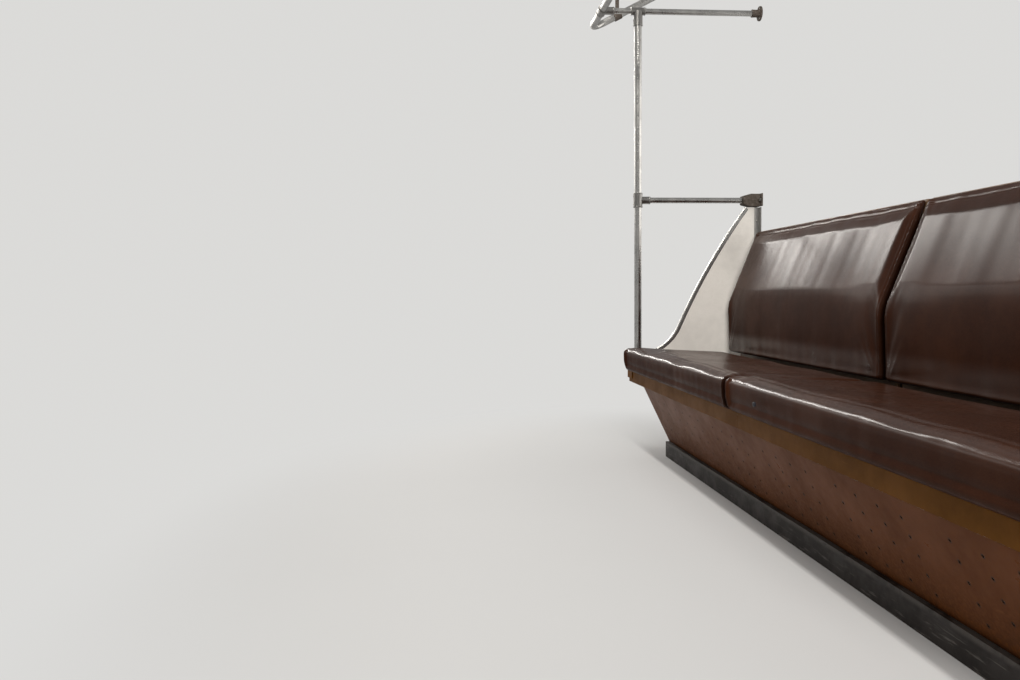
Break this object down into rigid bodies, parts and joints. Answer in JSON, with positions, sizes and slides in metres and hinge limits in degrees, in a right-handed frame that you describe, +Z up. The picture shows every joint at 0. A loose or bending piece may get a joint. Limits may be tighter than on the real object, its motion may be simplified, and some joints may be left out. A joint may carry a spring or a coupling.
{
  "type": "metro car bench seat",
  "caption": "Longitudinal bench seat of a metro car: perforated base, lifting seat halves, backrests, end screens, poles, arm rails and overhead grab rail.",
  "frame": {"origin": "on the floor, at the middle of the whole unit's box", "axes": "+X along the bench, +Y towards the car's side wall, +Z up; a passenger faces -Y"},
  "size_m": [3.514, 0.7349, 2.225],
  "materials": {
    "seat_leather": "satin reddish-brown leathercloth, puckered",
    "ochre_paint": "semi-gloss ochre paint, worn at edges",
    "panel_paint": "semi-gloss orange-brown paint, scuffed",
    "plinth_steel": "dark grey paint, scuffed by shoes",
    "frame_paint": "grey primer",
    "plywood": "clear-sealed plywood",
    "laminate": "cream-white laminate, satin",
    "trim_metal": "bright, handled",
    "tube_steel": "polished stainless tube",
    "tee_steel": "worn plated casting",
    "bracket_grey": "dark grey paint",
    "hinge_steel": "zinc plated",
    "seal_rubber": "black rubber"
  },
  "bodies": {
    "bench": {"plinth": "plinth_steel", "floor_cleats": "plinth_steel", "front_panel": "panel_paint", "front_rim": "ochre_paint", "pole_feet": "ochre_paint", "end_panel_left": "ochre_paint", "end_panel_right": "ochre_paint", "ledge_left": "ochre_paint", "ledge_right": "ochre_paint", "seat_fascia_left": "ochre_paint", "seat_fascia_right": "ochre_paint", "posts": "frame_paint", "hinge_rail": "frame_paint", "back_ribs": "frame_paint", "ribs": "frame_paint", "seat_seals": "seal_rubber", "back_board_left": "plywood", "back_board_right": "plywood", "back_cushion_left": "seat_leather", "back_cushion_right": "seat_leather", "hinge_fixed": "hinge_steel", "screen_left": "laminate", "screen_right": "laminate", "screen_trims": "trim_metal", "wall_angles": "trim_metal", "pole_left": "tube_steel", "pole_right": "tube_steel", "arm_rail_left": "tube_steel", "arm_rail_right": "tube_steel", "cross_bar_left": "tube_steel", "cross_bar_right": "tube_steel", "rail_end_left": "tube_steel", "rail_end_right": "tube_steel", "overhead_rail": "tube_steel", "arm_tees": "tee_steel", "top_tees": "tee_steel", "rail_tees": "tee_steel", "wall_blocks": "bracket_grey", "cross_brackets": "bracket_grey", "ceiling_flanges": "bracket_grey", "hangers": "bracket_grey"},
    "seat_left": {"seat_pan_left": "plywood", "seat_cushion_left": "seat_leather", "hinge_moving_left": "hinge_steel"},
    "seat_right": {"seat_pan_right": "plywood", "seat_cushion_right": "seat_leather", "hinge_moving_right": "hinge_steel"}
  },
  "joints": [
    {"name": "seat_lift_left", "type": "hinge", "parent": "bench", "child": "seat_left", "pos_m": [-0.69775, 0.1955, 0.43], "axis": [-1, 0, 0], "range_deg": [0, 75]},
    {"name": "seat_lift_right", "type": "hinge", "parent": "bench", "child": "seat_right", "pos_m": [0.69775, 0.1955, 0.43], "axis": [-1, 0, 0], "range_deg": [0, 75]}
  ]
}
